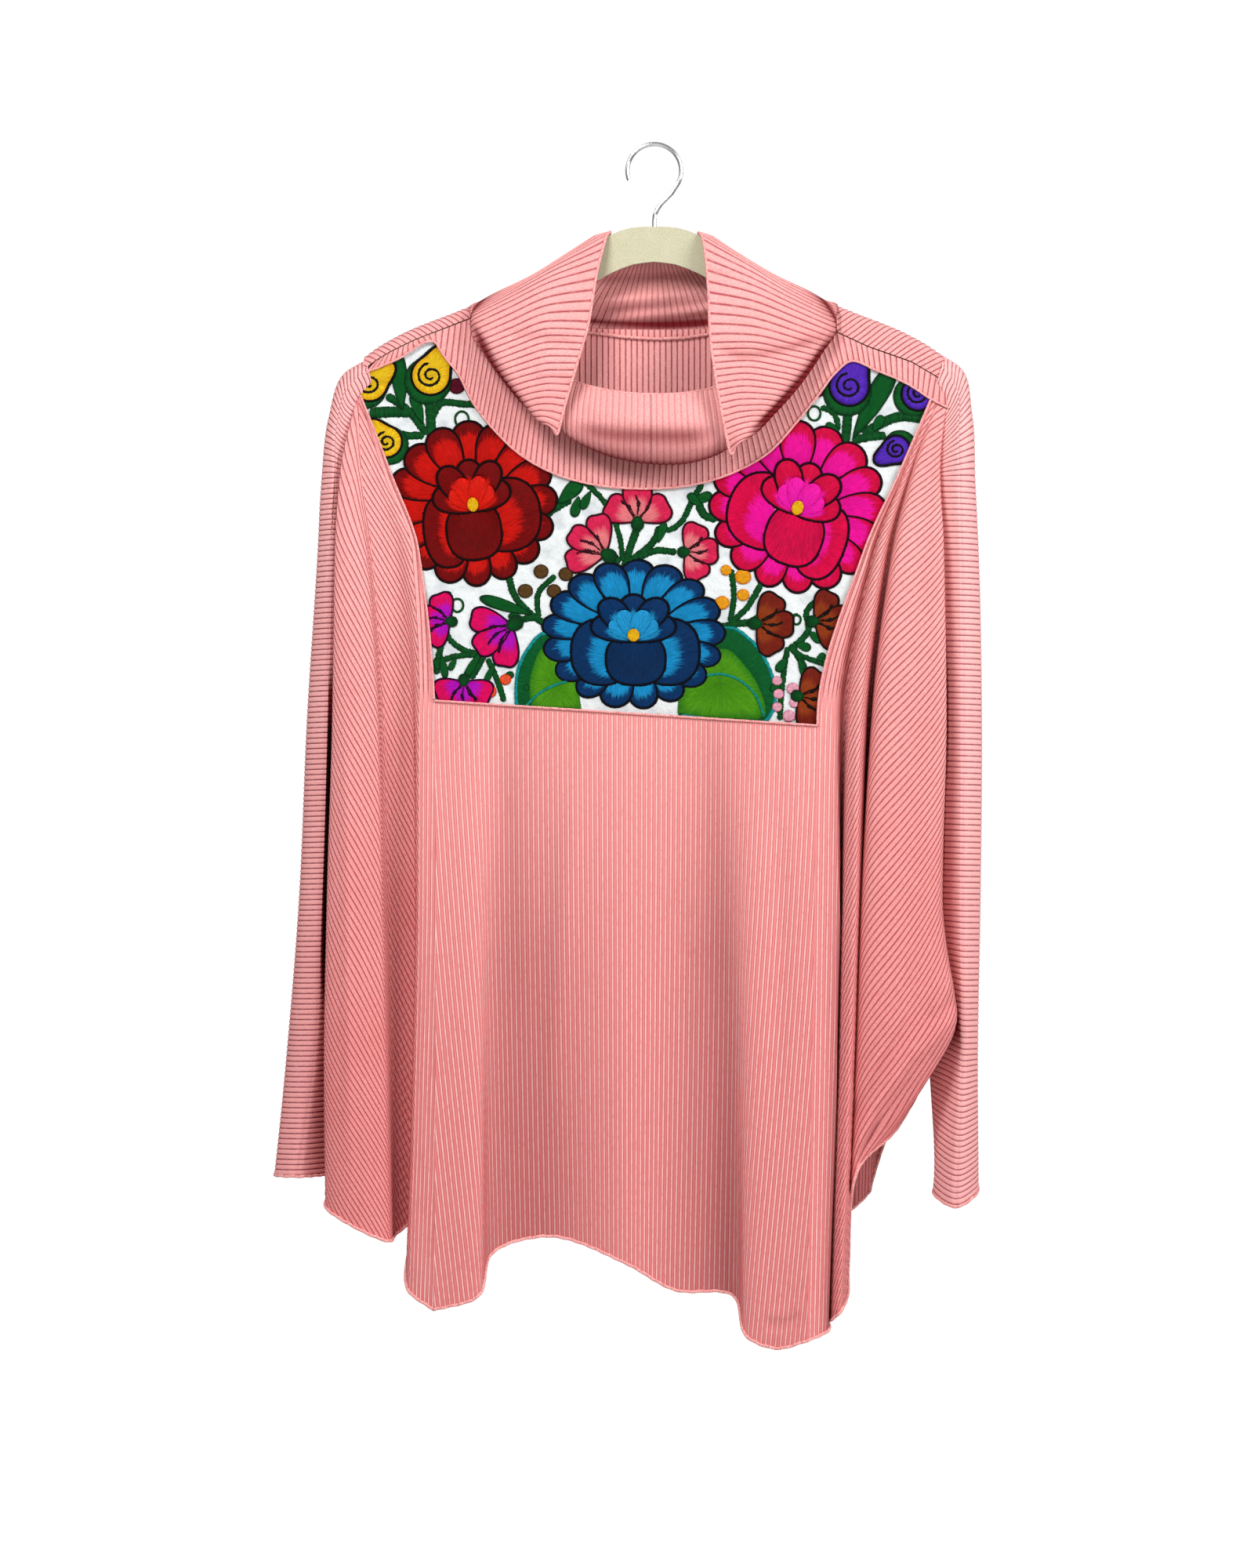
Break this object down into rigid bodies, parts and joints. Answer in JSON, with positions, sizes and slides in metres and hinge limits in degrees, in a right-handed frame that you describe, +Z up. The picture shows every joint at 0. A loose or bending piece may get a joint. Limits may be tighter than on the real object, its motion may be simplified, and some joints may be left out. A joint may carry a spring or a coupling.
{
  "type": "long sleeve top on a clothes hanger",
  "caption": "Loose ribbed knit top with wide batwing sleeves, a slouchy cowl collar and an embroidered yoke, hung by the shoulders on a thin flat hanger with a wire hook.",
  "frame": {"origin": "inside top of the hook, where it hangs on a rod", "axes": "+Z up, the garment's front faces -Y, +X to the right of a viewer in front of it"},
  "size_m": [0.5464, 0.124, 0.9214],
  "materials": {
    "knit": "ribbed knit",
    "yoke": "woven cotton",
    "hanger": "flocked",
    "hook": "polished"
  },
  "bodies": {
    "root": {"front": "knit", "back": "knit", "sleeve_left": "knit", "sleeve_right": "knit", "neck_band": "knit", "collar": "knit", "yoke": "yoke", "hanger": "hanger", "hook": "hook"}
  },
  "joints": []
}
